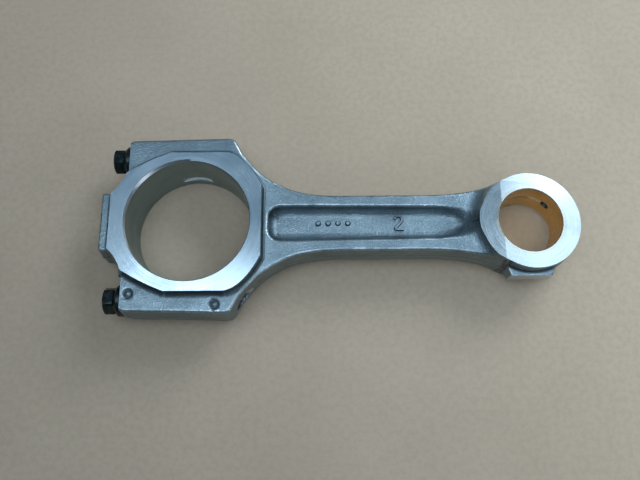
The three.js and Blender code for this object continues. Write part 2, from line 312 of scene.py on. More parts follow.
def forging(x, y, z, plan):
    """The whole forging before machining, as it leaves the die and the shot blast."""
    at = plan.at(x, y)
    up = np.abs(z)
    top = LUG_HALF - (LUG_HALF - BEAM_HALF) * smooth_step(x, *LUG_SLOPE)
    top = top + np.where(z > 0, dimple_height(x, y), 0)
    wall = drafted(at["body"], up, LUG_HALF, BODY_SWELL)

    to_eye = np.minimum(at["eye"], at["wedge"])
    shoulder = filleted_either(up - top, to_eye, SHOULDER_FILLET)
    body = rounded_both(wall, shoulder, BODY_EDGE)

    # The trough, whose edge softens where its floor runs out at the small end.
    floor = WEB_HALF + np.maximum(x - RUNOUT_X, 0) ** 2 / RUNOUT_SPREAD
    pocket_floor = filleted_either(up - floor, to_eye, TROUGH_END_FILLET)
    pocket_wall = at["trough"] + TROUGH_DRAFT * (BEAM_HALF - up)
    pocket = rounded_both(pocket_wall, -pocket_floor, TROUGH_FILLET)
    body = rounded_both(body, -pocket, TROUGH_EDGE + RUNOUT_EDGE_GAIN * smooth_step(x, 156, 172))

    # The cap's pad, which reaches further out on the -Y side lower down.
    stretch = np.where(y < 0, 1 - 0.07 * (1 - z / BEAM_HALF), 1)
    pad_side = plan.at(x, y * stretch, "cap_pad")["cap_pad"]
    pad_wall = drafted(pad_side, up, BEAM_HALF, CAP_PAD_SWELL)
    cap_pad = rounded_both(pad_wall, up - BEAM_HALF, CAP_PAD_EDGE)
    body = filleted_either(body, cap_pad, CAP_PAD_FILLET)

    ring_wall = at["ring"] - RING_SWELL * (1 - up / HALF)
    ring = rounded_both(ring_wall, up - (HALF + RAW), SHARP_EDGE)
    body = filleted_either(body, ring, RING_FILLET - RING_FILLET_LOSS * smooth_step(x, 22, 42))

    eye_wall = drafted(to_eye, up, EYE_HALF, EYE_SWELL)
    eye = rounded_both(eye_wall, up - (EYE_HALF + RAW), SHARP_EDGE)
    pad_top = PAD_HALF_HEIGHT + PAD_SLOPE * np.clip(y - EYE_PAD_Y, -1, 8)
    pad_wall = at["eye_pad"] - EYE_PAD_SWELL * (1 - up / PAD_HALF_HEIGHT)
    eye_pad = rounded_both(pad_wall, up - pad_top, PAD_EDGE)
    body = filleted_either(body, filleted_either(eye, eye_pad, EYE_PAD_FILLET), EYE_FILLET)
    return body + SKIN_UNEVENNESS * waviness(x, y, z)


# --------------------------------------------------------------------- meshing a field


CORNERS = [(i, j, k) for i in (0, 1) for j in (0, 1) for k in (0, 1)]
CELL_EDGES = [(a, b) for a in range(8) for b in range(a + 1, 8)
              if sum(p != q for p, q in zip(CORNERS[a], CORNERS[b])) == 1]


def surface_net(values, low, step):
    """Points and four-sided faces of a field's zero surface, one point a cell."""
    nx, ny, nz = (n - 1 for n in values.shape)
    corner = [values[i:i + nx, j:j + ny, k:k + nz] for i, j, k in CORNERS]
    count = sum((c < 0).astype(np.int8) for c in corner)
    cells = np.argwhere((count > 0) & (count < 8))
    ci, cj, ck = cells.T
    value = [c[ci, cj, ck] for c in corner]
    total, hits = np.zeros((len(cells), 3)), np.zeros(len(cells))
    for a, b in CELL_EDGES:
        crossed = (value[a] < 0) != (value[b] < 0)
        share = np.where(crossed, value[a] / np.where(crossed, value[a] - value[b], 1), 0)
        pa, pb = np.array(CORNERS[a], float), np.array(CORNERS[b], float)
        total += crossed[:, None] * (pa + share[:, None] * (pb - pa))
        hits += crossed
    points = low + step * (cells + total / hits[:, None])

    index = np.full((nx, ny, nz), -1, np.int64)
    index[ci, cj, ck] = np.arange(len(cells))
    faces = []
    for axis in range(3):
        u, v = (axis + 1) % 3, (axis + 2) % 3
        first = [slice(1, -1)] * 3
        second = [slice(1, -1)] * 3
        first[axis], second[axis] = slice(0, -1), slice(1, None)
        start, end = values[tuple(first)] < 0, values[tuple(second)] < 0
        for leaving in (True, False):
            at = np.argwhere((start != end) & (start == leaving))
            at[:, u] += 1
            at[:, v] += 1
            ring = []
            for du, dv in ((1, 1), (0, 1), (0, 0), (1, 0)):
                cell = at.copy()
                cell[:, u] -= du
                cell[:, v] -= dv
                ring.append(index[cell[:, 0], cell[:, 1], cell[:, 2]])
            quads = np.stack(ring, axis=1)
            faces.append(quads if leaving else quads[:, ::-1])
    return points, np.concatenate(faces)


def slope(field, points, reach):
    """The field's gradient at each point."""
    parts = []
    for axis in range(3):
        shift = np.zeros(3)
        shift[axis] = reach
        parts.append(field(*(points + shift).T) - field(*(points - shift).T))
    return np.stack(parts, axis=1) / (2 * reach)


def settle(field, points, step, rounds=4):
    """Moves the points onto the field's zero surface."""
    for _ in range(rounds):
        distance = field(*points.T)
        gradient = slope(field, points, 0.15)
        length2 = np.maximum((gradient ** 2).sum(axis=1), 0.05)
        move = (distance / length2)[:, None] * gradient
        length = np.linalg.norm(move, axis=1, keepdims=True)
        points = points - move * np.minimum(1, 0.6 * step / np.maximum(length, 1e-9))
    return points


def curvature(field, points, reach=0.9):
    """How sharply the surface bends at each point: above 0 on edges, below in corners."""
    total = -6 * field(*points.T)
    for axis in range(3):
        shift = np.zeros(3)
        shift[axis] = reach
        total += field(*(points + shift).T) + field(*(points - shift).T)
    return total / reach ** 2


def forged_blank(name, x_range, step):
    """One half of the forging, from x_range[0] to x_range[1], a little past the joint."""
    top = HALF + RAW + 2 * step
    low = np.array([x_range[0], -FORGING_REACH_Y, -top])
    high = np.array([x_range[1], FORGING_REACH_Y, top])
    sizes = np.ceil((high - low) / step).astype(int) + 1
    xs, ys, zs = (low[a] + step * np.arange(sizes[a]) for a in range(3))
    values = forging(xs[:, None, None], ys[None, :, None], zs[None, None, :], PLAN)
    for axis in range(3):
        edge = [slice(None)] * 3
        for end in (0, -1):
            edge[axis] = end
            values[tuple(edge)] = np.maximum(values[tuple(edge)], 0.3 * step)
    points, faces = surface_net(values, low, step)
    inner = (points[:, 0] > low[0] + 2 * step) & (points[:, 0] < high[0] - 2 * step)
    points[inner] = settle(lambda x, y, z: forging(x, y, z, PLAN), points[inner], step)
    return mesh_object(name, points, faces)


# ------------------------------------------------------------------------ mesh helpers


def mesh_object(name, points, faces):
    mesh = bpy.data.meshes.new(name)
    mesh.from_pydata(place(points).tolist(), [], [list(f) for f in faces])
    mesh.update()
    made = bpy.data.objects.new(name, mesh)
    bpy.context.scene.collection.objects.link(made)
    return made


def revolved(name, profile, segments=128, centre=(0, 0, 0), along="z", phase=0.0):
    """A closed turned solid. The profile lists (radius, along) and goes once round the
    section; points on the axis have radius 0."""
    points, rings = [], []
    for radius, level in profile:
        if radius == 0:
            rings.append([len(points)] * segments)
            points.append((0, 0, level))
            continue
        rings.append(list(range(len(points), len(points) + segments)))
        for k in range(segments):
            angle = phase + 2 * math.pi * k / segments
            points.append((radius * math.cos(angle), radius * math.sin(angle), level))
    faces = []
    closed = profile[0][0] > 0
    pairs = list(zip(rings, rings[1:])) + ([(rings[-1], rings[0])] if closed else [])
    for lower, upper in pairs:
        for k in range(segments):
            nxt = (k + 1) % segments
            corner = [lower[k], lower[nxt], upper[nxt], upper[k]]
            face = [c for n, c in enumerate(corner) if c != corner[n - 1]]
            if len(face) > 2:
                faces.append(face)
    points = np.array(points, float)
    if along == "x":
        points = points[:, [2, 0, 1]]
    return outward(mesh_object(name, points + np.array(centre, float), faces))


def outward(item):
    """Turns every face outwards."""
    made = bmesh.new()
    made.from_mesh(item.data)
    bmesh.ops.recalc_face_normals(made, faces=made.faces)
    made.to_mesh(item.data)
    made.free()
    return item


def prism(name, corners, start, end, axis="y"):
    """A flat outline of (x, other) points drawn out along an axis."""
    low, high = [], []
    for x, other in corners:
        low.append((x, start, other) if axis == "y" else (x, other, start))
        high.append((x, end, other) if axis == "y" else (x, other, end))
    n = len(corners)
    sides = [[k, (k + 1) % n, n + (k + 1) % n, n + k] for k in range(n)]
    faces = [list(range(n)), list(range(n, 2 * n)), *sides]
    return outward(mesh_object(name, np.array(low + high, float), faces))


def block(name, xs, ys, zs):
    return prism(name, [(xs[0], zs[0]), (xs[1], zs[0]), (xs[1], zs[1]), (xs[0], zs[1])], *ys)


def applied(item):
    """Makes the object's modifiers permanent."""
    graph = bpy.context.evaluated_depsgraph_get()
    done = bpy.data.meshes.new_from_object(item.evaluated_get(graph))
    item.modifiers.clear()
    item.data = done
    item.data.name = item.name
    return item


def combined(item, operation, *tools):
    """Joins or cuts solids exactly; the tools are used up."""
    for tool in tools:
        step = item.modifiers.new("combine", "BOOLEAN")
        step.operation, step.solver, step.object = operation, "MANIFOLD", tool
        applied(item)
        bpy.data.objects.remove(tool)
    return item


def cut(item, *tools, keep_common=False):
    """Cuts the tools out of the item, or with keep_common keeps what they share."""
    return combined(item, "INTERSECT" if keep_common else "DIFFERENCE", *tools)


PLAN = Plan(
    {
        "body": mirrored(BODY), "ring": mirrored(RING), "trough": mirrored(TROUGH),
        "cap_pad": mirrored(CAP_PAD) + CAP_PAD_SHIFT, "wedge": mirrored(EYE_WEDGE),
        "eye": eye_outline(), "eye_pad": np.array(EYE_PAD, float),
    },
    low=(-60, -60), high=(245, 60),
)

# ------------------------------------------------------------------- machining cutters


def bore_cutter(radius, half, chamfer, x=0.0, y=0.0):
    """A bore right through, with a chamfer at each mouth."""
    margin = 6
    past, wide = half + margin, radius + chamfer + margin
    return revolved("bore", [(0, -past), (wide, -past), (radius, -half + chamfer),
                             (radius, half - chamfer), (wide, past), (0, past)],
                    256, (x, y, 0))


def drill(radius, start, end, y):
    return revolved("drill", [(0, start), (radius, start), (radius, end), (0, end)],
                    64, (0, y, 0), along="x")


def thread_profile(turn):
    """Height within one pitch of a thread's flank, from 0 at the root to 1 at the crest."""
    part = turn % 1.0
    return np.clip(1.45 - abs(part - 0.5) * 3.6, 0, 1)


def threaded(name, stations, crest, depth, start, end, y, segments=72):
    """A turned stem whose stretch from start to end carries a right-hand thread.
    Stations are (x, radius) from one end to the other."""
    xs, radii = zip(*stations)
    fine = np.arange(min(xs), max(xs) + 1e-6, THREAD_PITCH / 12)
    levels = np.unique(np.round(np.concatenate([fine[(fine > start) & (fine < end)], xs]), 4))
    points, faces = [(levels[0], 0, 0)], []
    angles = 2 * math.pi * np.arange(segments) / segments
    for x in levels:
        plain = np.interp(x, xs, radii)
        lift = thread_profile(x / THREAD_PITCH - angles / (2 * math.pi))
        runout = smooth_step(x, start, start + 1.2) * (1 - smooth_step(x, end - 0.8, end))
        cutting = (1 - lift) * depth * runout * float(start < x < end)
        radius = np.minimum(plain, crest - cutting) if start < x < end else np.full(segments, plain)
        points += [(x, r * math.cos(a), r * math.sin(a)) for r, a in zip(radius, angles)]
    points.append((levels[-1], 0, 0))
    last = len(points) - 1
    for k in range(segments):
        nxt = (k + 1) % segments
        faces.append([0, 1 + nxt, 1 + k])
        for ring in range(len(levels) - 1):
            a, b = 1 + ring * segments, 1 + (ring + 1) * segments
            faces.append([a + k, a + nxt, b + nxt, b + k])
        faces.append([last, last - segments + k, last - segments + nxt])
    return outward(mesh_object(name, np.array(points, float) + [0, y, 0], faces))


def tapped_cutter(y):
    tip = BOLT_END_X + 20
    stem = [(-1, TAP_R), (tip, TAP_R)]
    return threaded("tap", stem, TAP_R, THREAD_DEPTH, 7.5, tip - 1, y)


def counterbore(side):
    """Where the ring dowel sits, half in the rod and half in the cap."""
    reach = DOWEL_HALF + 0.5
    return drill(DOWEL_R + 0.08, -reach, reach, side * BOLT_Y)


def seat_cutter(side):
    ys = sorted((side * 33, side * 70))
    return block("seat", (SEAT_X - 25, SEAT_X), ys, (-30, 30))


def tang_cutter():
    """A disc cutter run into the bore wall at the joint, for the shells' tangs."""
    return revolved("tang", [(0, -TANG_HALF), (TANG_CUTTER_R, -TANG_HALF),
                             (TANG_CUTTER_R, TANG_HALF), (0, TANG_HALF)],
                    192, (0, BIG_BORE_R + TANG_DEPTH - TANG_CUTTER_R, TANG_Z))


def face_mills():
    return [block("mill", (-70, 120), (-70, 70), sorted((side * HALF, side * 40)))
            for side in (-1, 1)]


def eye_mills():
    """What is milled off above and below the small end: flat, then tapered."""
    near, far, past = 162, EYE_X + EYE_R + 6, 30
    drop = (far - TAPER_START) * TAPER
    return [prism("mill", [(near, s * EYE_HALF), (TAPER_START, s * EYE_HALF),
                           (far, s * (EYE_HALF - drop)), (far, s * past), (near, s * past)], -50, 50)
            for s in (-1, 1)]


def oil_drill(start, end):
    made = revolved("oil", [(0, start), (OIL_HOLE_R, start), (OIL_HOLE_R, end), (0, end)],
                    48, along="x")
    turn = Matrix.Rotation(OIL_HOLE_ANGLE, 4, "Z")
    axis = Vector(place([0, 0, 0]))
    eye = Vector(place([CENTRES, 0, 0]))
    made.data.transform(Matrix.Translation(eye) @ turn @ Matrix.Translation(-axis))
    return made


# --------------------------------------------------------------------------- materials


class Shader:
    """Short names for building a node material."""

    def __init__(self, name):
        self.material = bpy.data.materials.new(name)
        self.material.use_nodes = True
        self.tree = self.material.node_tree
        self.surface = self.tree.nodes["Principled BSDF"]
        self.where = self.node("ShaderNodeTexCoord").outputs["Object"]

    def node(self, kind, **settings):
        made = self.tree.nodes.new(kind)
        for key, value in settings.items():
            setattr(made, key, value)
        return made

    def link(self, source, target):
        if isinstance(source, (int, float, tuple)):
            target.default_value = source
        else:
            self.tree.links.new(source, target)

    def scaled(self, factors, source=None):
        made = self.node("ShaderNodeVectorMath", operation="MULTIPLY")
        self.link(source or self.where, made.inputs[0])
        made.inputs[1].default_value = factors
        return made.outputs[0]

    def noise(self, scale, detail=3.0, rough=0.55, source=None):
        made = self.node("ShaderNodeTexNoise")
        self.link(source or self.where, made.inputs["Vector"])
        made.inputs["Scale"].default_value = scale
        made.inputs["Detail"].default_value = detail
        made.inputs["Roughness"].default_value = rough
        return made.outputs["Fac"]

    def spots(self, scale):
        made = self.node("ShaderNodeTexVoronoi")
        self.link(self.where, made.inputs["Vector"])
        made.inputs["Scale"].default_value = scale
        return made.outputs["Distance"]

    def ramp(self, source, low, high, to_low=0.0, to_high=1.0):
        made = self.node("ShaderNodeMapRange", interpolation_type="SMOOTHSTEP")
        self.link(source, made.inputs["Value"])
        for name, value in zip(("From Min", "From Max", "To Min", "To Max"),
                               (low, high, to_low, to_high)):
            made.inputs[name].default_value = value
        return made.outputs["Result"]

    def math(self, operation, a, b=0.0):
        made = self.node("ShaderNodeMath", operation=operation)
        self.link(a, made.inputs[0])
        self.link(b, made.inputs[1])
        return made.outputs[0]

    def mix(self, share, a, b):
        made = self.node("ShaderNodeMix", data_type="RGBA")
        self.link(share, made.inputs[0])
        self.link(a if not isinstance(a, tuple) else (*a, 1), made.inputs[6])
        self.link(b if not isinstance(b, tuple) else (*b, 1), made.inputs[7])
        return made.outputs[2]

    def attribute(self, name):
        return self.node("ShaderNodeAttribute", attribute_name=name).outputs["Fac"]

    def upright(self):
        """1 where the surface faces straight up or down, 0 on a side wall."""
        parts = self.node("ShaderNodeSeparateXYZ")
        self.link(self.node("ShaderNodeNewGeometry").outputs["Normal"], parts.inputs[0])
        return self.math("ABSOLUTE", parts.outputs[2])

    def polar(self, centre):
        """(turn round the centre, distance from it, height) as a vector, and the direction
        away from the centre, along which turned marks spread a highlight."""
        local = self.node("ShaderNodeVectorMath", operation="SUBTRACT")
        self.link(self.where, local.inputs[0])
        local.inputs[1].default_value = centre
        parts = self.node("ShaderNodeSeparateXYZ")
        self.link(local.outputs[0], parts.inputs[0])
        x, y, z = parts.outputs
        angle = self.math("ARCTAN2", y, x)
        radius = self.math("SQRT", self.math("ADD", self.math("MULTIPLY", x, x),
                                             self.math("MULTIPLY", y, y)))
        joined = self.node("ShaderNodeCombineXYZ")
        for source, target in zip((angle, radius, z), joined.inputs):
            self.link(source, target)
        away = self.node("ShaderNodeCombineXYZ")
        self.link(x, away.inputs[0])
        self.link(y, away.inputs[1])
        turned = self.node("ShaderNodeVectorTransform", vector_type="VECTOR",
                           convert_from="OBJECT", convert_to="WORLD")
        self.link(away.outputs[0], turned.inputs[0])
        return joined.outputs[0], turned.outputs[0]

    def bump(self, height, strength, distance, under=None):
        made = self.node("ShaderNodeBump")
        made.inputs["Strength"].default_value = strength
        made.inputs["Distance"].default_value = distance
        self.link(height, made.inputs["Height"])
        if under is not None:
            self.link(under, made.inputs["Normal"])
        return made.outputs["Normal"]

    def finish(self, colour, roughness, metallic, normal=None, anisotropy=0.0, tangent=None):
        self.link(colour if not isinstance(colour, tuple) else (*colour, 1),
                  self.surface.inputs["Base Color"])
        self.link(roughness, self.surface.inputs["Roughness"])
        self.surface.inputs["Metallic"].default_value = metallic
        self.surface.inputs["Anisotropic"].default_value = anisotropy
        if normal is not None:
            self.link(normal, self.surface.inputs["Normal"])
        if tangent is not None:
            self.link(tangent, self.surface.inputs["Tangent"])
        return self.material


BIG_AXIS = tuple(place([0, 0, 0]))
EYE_AXIS = tuple(place([CENTRES, 0, 0]))
FORGED_DARK = (0.175, 0.255, 0.303)
FORGED_LIGHT = (0.282, 0.395, 0.455)
FORGED_WORN = (0.66, 0.78, 0.84)
# Darker, warmer colour mixed into the forging's side walls: a painted reflection of the shaded
# floor.
FORGED_WALL_SHADE = (0.17, 0.185, 0.165)
# Near-black colour mixed into concave corners: painted shade.
FORGED_CORNER_SHADE = (0.045, 0.062, 0.072)
# Near-black colours for the raised marks' side walls: painted shade round the strokes.
MARK_SHADE_DARK = (0.03, 0.04, 0.045)
MARK_SHADE_LIGHT = (0.12, 0.15, 0.17)
GROUND = (0.59, 0.76, 0.87)
GROUND_EYE = (0.63, 0.77, 0.84)
GROUND_SCUFF = (0.84, 0.92, 0.95)
MILLED_DARK = (0.40, 0.44, 0.47)
MILLED_LIGHT = (0.60, 0.65, 0.68)
BORE_STEEL = (0.31, 0.41, 0.42)
DOWEL_STEEL = (0.62, 0.65, 0.68)
BRONZE = (0.86, 0.55, 0.21)
BUSH_BACKING = (0.64, 0.70, 0.66)
OXIDE_DARK = (0.018, 0.03, 0.031)
OXIDE_LIGHT = (0.042, 0.064, 0.066)
OXIDE_WORN = (0.14, 0.16, 0.17)
PAPER_DARK = (0.66, 0.54, 0.40)
PAPER_LIGHT = (0.73, 0.60, 0.45)
PAPER_FLECK = (0.49, 0.40, 0.30)
# Direction of the floor's painted light falloff: the floor is painted darker the other way.
FLOOR_LIGHT_FALLOFF = (0.8, 0.6, 0)     # the way the floor grows lighter


def shade(colour, share):
    return tuple(c * share for c in colour)


def forged_skin():
    """Shot-blasted forging: fine grain, cloudy tone and worn edges, with painted shade in the
    corners and on the side walls.
    """
    s = Shader("forged_skin")
    cloud = s.noise(38, 4, 0.6)
    grain = s.noise(1500, 2, 0.6)
    pits = s.spots(1050)
    tone = s.mix(s.ramp(cloud, 0.3, 0.7), FORGED_DARK, FORGED_LIGHT)
    tone = s.mix(s.ramp(grain, 0.52, 0.72, 0, 0.5), tone, FORGED_WORN)
    bend = s.attribute("bend")
    patchy = s.math("MULTIPLY", s.ramp(bend, 0.16, 0.55), s.ramp(s.noise(160, 3), 0.3, 0.6))
    tone = s.mix(s.math("MULTIPLY", patchy, 0.45), tone, FORGED_WORN)
    # Painted shade: side walls are mixed halfway to a dark, warm colour, a painted reflection of the
    # shaded floor beside them.
    tone = s.mix(s.ramp(s.upright(), 0.75, 0.3, 0, 0.5), tone, FORGED_WALL_SHADE)
    # Painted shade: concave corners are darkened, up to most of the way, to a near-black colour
    # where shade would fall.
    tone = s.mix(s.ramp(bend, -0.11, -0.34, 0, 0.8), tone, FORGED_CORNER_SHADE)
    rough = s.math("SUBTRACT", s.ramp(cloud, 0.3, 0.7, 0.45, 0.37),
                   s.math("MULTIPLY", patchy, 0.12))
    normal = s.bump(s.noise(420, 3, 0.6), 0.5, 0.0003)
    normal = s.bump(pits, 0.5, 0.00022, normal)
    normal = s.bump(grain, 0.55, 0.00015, normal)
    return s.finish(tone, rough, 0.9, normal)


def ground_face(name, centre, tint=GROUND, roughness=0.175):
    """A machined side face: lay marks turned round the bore, with a few scuffs."""
    s = Shader(name)
    around, tangent = s.polar(centre)
    lay = s.noise(1.0, 4, 0.7, s.scaled((1.6, 5200, 1), around))
    broad = s.noise(1.0, 3, 0.6, s.scaled((1.1, 700, 1), around))
    cloud = s.noise(45, 3, 0.6)
    scuff = s.ramp(s.noise(700, 2, 0.5, s.scaled((1, 0.12, 1))), 0.68, 0.74)
    tone = s.mix(s.ramp(lay, 0.35, 0.65, 0, 0.35), tint, shade(tint, 0.72))
    tone = s.mix(s.ramp(cloud, 0.42, 0.7, 0, 0.35), tone, shade(tint, 0.7))
    tone = s.mix(s.math("MULTIPLY", scuff, 0.3), tone, GROUND_SCUFF)
    rough = s.math("ADD", s.ramp(broad, 0.3, 0.7, roughness, roughness + 0.06),
                   s.ramp(cloud, 0.4, 0.7, 0, 0.06))
    normal = s.bump(lay, 0.02, 0.00003)
    return s.finish(tone, rough, 1.0, normal, 0.55, tangent)


def bored_wall(name, centre, tint, roughness=0.3, strength=0.25):
    """A bored or honed wall: fine rings round the axis, a little cross-hatch and stain."""
    s = Shader(name)
    around, tangent = s.polar(centre)
    rings = s.noise(1.0, 3, 0.65, s.scaled((2.2, 1, 5200), around))
    stain = s.noise(55, 4, 0.6)
    tone = s.mix(s.ramp(rings, 0.3, 0.7), shade(tint, 0.78), tint)
    tone = s.mix(s.ramp(stain, 0.45, 0.75, 0, 0.4), tone, shade(tint, 0.6))
    rough = s.ramp(stain, 0.35, 0.7, roughness, roughness + 0.12)
    return s.finish(tone, rough, 1.0, s.bump(rings, strength, 0.00005), 0.4, tangent)


def black_oxide():
    s = Shader("black_oxide")
    wear = s.noise(260, 4, 0.65)
    tone = s.mix(s.ramp(wear, 0.4, 0.7), OXIDE_DARK, OXIDE_LIGHT)
    tone = s.mix(s.ramp(s.noise(900, 3, 0.6), 0.64, 0.74, 0, 0.5), tone, OXIDE_WORN)
    rough = s.ramp(wear, 0.35, 0.7, 0.22, 0.38)
    return s.finish(tone, rough, 0.75, s.bump(s.noise(1400, 3), 0.25, 0.00008))


def joint_face():
    s = Shader("milled_joint")
    lay = s.noise(1.0, 3, 0.6, s.scaled((1, 120, 3600)))
    tone = s.mix(s.ramp(lay, 0.35, 0.65), MILLED_DARK, MILLED_LIGHT)
    return s.finish(tone, s.ramp(lay, 0.3, 0.7, 0.28, 0.38), 1.0, s.bump(lay, 0.15, 0.00004))


# Painted shade: a near-black material for the raised marks' side walls, standing in for the shadows
# round the strokes.
def painted_mark_shade():
    s = Shader("painted_mark_shade")
    tone = s.mix(s.noise(900, 3, 0.6), MARK_SHADE_DARK, MARK_SHADE_LIGHT)
    return s.finish(tone, 0.55, 0.6, s.bump(s.noise(1400, 3), 0.3, 0.0001))


def floor_paper():
    s = Shader("floor_paper")
    cloud = s.noise(7, 4, 0.6)
    fleck = s.noise(260, 3, 0.6)
    tone = s.mix(s.ramp(cloud, 0.3, 0.7), PAPER_DARK, PAPER_LIGHT)
    tone = s.mix(s.ramp(fleck, 0.35, 0.7, 0, 0.3), tone, PAPER_FLECK)
    # Painted light: the floor is darkened by up to 36 per cent towards one side, a painted falloff
    # of the lamps' light.
    toward_light = s.node("ShaderNodeVectorMath", operation="DOT_PRODUCT")
    s.link(s.where, toward_light.inputs[0])
    toward_light.inputs[1].default_value = FLOOR_LIGHT_FALLOFF
    tone = s.mix(s.ramp(toward_light.outputs["Value"], -0.3, 0.3, 0.36, 0), tone, (0, 0, 0))
    return s.finish(tone, 0.85, 0.0, s.bump(fleck, 0.1, 0.0002))


# --------------------------------------------------------------- which face is which


def face_data(item):
    """Centres and normals of an object's faces, in mm about the big bore."""
    count = len(item.data.polygons)
    centres, normals = np.zeros(count * 3), np.zeros(count * 3)
    item.data.polygons.foreach_get("center", centres)
    item.data.polygons.foreach_get("normal", normals)
    centres = centres.reshape(-1, 3) * 1000 - [AXIS_X, 0, HALF]
    return centres, normals.reshape(-1, 3)


def dress(item, materials, kinds, sharp=32):
    """Gives each face its material by number, and smooth shading between sharp edges."""
    item.data.materials.clear()
    for material in materials:
        item.data.materials.append(material)
    item.data.polygons.foreach_set("material_index", kinds.astype(np.int32))
    item.data.polygons.foreach_set("use_smooth", np.ones(len(kinds), bool))
    item.data.set_sharp_from_angle(angle=math.radians(sharp))
    item.data.update()


SKIN, BIG_FACE, EYE_FACE, BORED, MILLED, MARK_SHADE = range(6)
FLAT = 0.98                     # a face this square to an axis is machined
NEAR = 0.05                     # and lies this close to where its cutter ran


def forged_kinds(item):
    """What each face of the rod or the cap is: SKIN, BIG_FACE and so on."""
    centre, normal = face_data(item)
    x, y, z = centre.T
    up = np.abs(z)
    level = np.abs(normal[:, 2])
    along = np.abs(normal[:, 0]) > FLAT
    from_bore = np.hypot(x, y)
    from_bolt = np.hypot(np.abs(y) - BOLT_Y, z)
    kinds = np.full(len(x), SKIN)

    # The ground faces; the small end's are a little off level.
    kinds[(level > FLAT) & (up > HALF - NEAR) & (x < 60)] = BIG_FACE
    eye_top = EYE_HALF - TAPER * np.maximum(0, x - TAPER_START)
    kinds[(level > 0.985) & (np.abs(up - eye_top) < 0.08) & (x > 165)] = EYE_FACE

    # The bores' walls: the big end's, the small end's and the bolts' holes.
    in_bore = (from_bore < BIG_BORE_R + 2.2) & (kinds == SKIN)
    in_eye = (np.hypot(x - CENTRES, y) < BUSH_R + 1.2) & (kinds == SKIN)
    in_bolt = (from_bolt > BOLT_END_R) & (from_bolt < DOWEL_R + 0.3) & (x < 41)
    in_bolt &= (np.abs(normal[:, 0]) < 0.6) & (kinds == SKIN)
    kinds[in_bore | in_eye | in_bolt] = BORED

    # Bright milled metal, some of it inside the bores.
    tang = in_bore & (from_bore > BIG_BORE_R + 0.12) & (y > 36) & (np.abs(x) < 12) & (up < 14)
    chamfer = in_bore & (x < 0) & (up > HALF - 1.6) & (level > 0.3)
    tapped = in_bolt & (x > 12)
    at_joint = along & (np.abs(x) < 0.1)
    at_spot_face = along & (np.abs(x - SPOT_FACE_X) < NEAR) & (np.abs(y) > 36)
    at_seat = along & (np.abs(x - SEAT_X) < NEAR) & (np.abs(y) > 32)
    at_pad = (np.abs(y - EYE_PAD_Y) < NEAR) & (normal[:, 1] < -FLAT) & (x > 190)
    kinds[tang | chamfer | tapped | at_joint | at_spot_face | at_seat | at_pad] = MILLED

    # Painted shade: the side walls of the raised pips and figure get the near-black mark material,
    # for the shadows round the strokes.
    shaded_mark_side = (z > WEB_HALF + 0.12) & (z < WEB_HALF + 1.1) & (normal[:, 2] < 0.85)
    kinds[shaded_mark_side & (x > PIP_START_X - 3) & (x < FIGURE_X + 10.5) & (np.abs(y) < 7.5)] = MARK_SHADE
    return kinds


def mark_bends(item):
    """Stores how sharply the forging bends at each vertex, for worn edges and painted corner shade.
    """
    count = len(item.data.vertices)
    points = np.zeros(count * 3)
    item.data.vertices.foreach_get("co", points)
    points = points.reshape(-1, 3) * 1000 - [AXIS_X, 0, HALF]
    bend = curvature(lambda x, y, z: forging(x, y, z, PLAN), points)
    layer = item.data.attributes.new("bend", "FLOAT", "POINT")
    layer.data.foreach_set("value", np.clip(bend, -1, 1))


# ------------------------------------------------------------------------- the pieces


def raised_stroke(name, path, width, low, high):
    """A raised line of even width along a path of (x, y) points, its sides drafted."""
    path = np.array(path, float)
    ahead = np.gradient(path, axis=0)
    ahead /= np.linalg.norm(ahead, axis=1, keepdims=True)
    aside = np.stack([-ahead[:, 1], ahead[:, 0]], axis=1)
    ends = np.zeros_like(path)
    ends[0], ends[-1] = -ahead[0], ahead[-1]
    rings = []
    for level, half in ((low, width * 0.75), (high, width * 0.34)):
        left = path + (aside + 0.6 * ends) * half
        right = path + (-aside + 0.6 * ends) * half
        rings.append([(x, y, level) for x, y in np.concatenate([left, right[::-1]])])
    n = len(rings[0])
    sides = [[k, (k + 1) % n, n + (k + 1) % n, n + k] for k in range(n)]
    strips = []
    for k in range(n // 2 - 1):
        for base in (0, n):
            strips.append([base + k, base + k + 1, base + n - 2 - k, base + n - 1 - k])
    return outward(mesh_object(name, np.array(rings[0] + rings[1], float), sides + strips))


def figure_two(x, y, height):
    """The path of a figure 2 whose lower left corner is at x, y."""
    bend = height * 0.27
    turns = np.radians(np.linspace(165, -38, 12))
    hook = [(x + bend * (1 + math.cos(t)), y + height - bend * (1 - math.sin(t))) for t in turns]
    slant = [(x + 0.25, y + 0.7), (x + 0.45, y + 0.25)]
    return hook + slant + [(x + 1.2, y), (x + 2 * bend + 0.4, y)]


def date_marks():
    """Raised forging marks in the upper trough: four pips and a figure."""
    low, high = WEB_HALF - 0.8, WEB_HALF + 1.2
    section = [(0, low), (2.1, low), (1.6, WEB_HALF + 0.7), (1.1, high), (0, high)]
    marks = [revolved("pip", section, 32, (PIP_START_X + PIP_PITCH * k, 1.5, 0))
             for k in range(PIP_COUNT)]
    figure = raised_stroke("figure", figure_two(FIGURE_X, -2.6, FIGURE_HEIGHT), 1.9, low, high)
    return [*marks, figure]


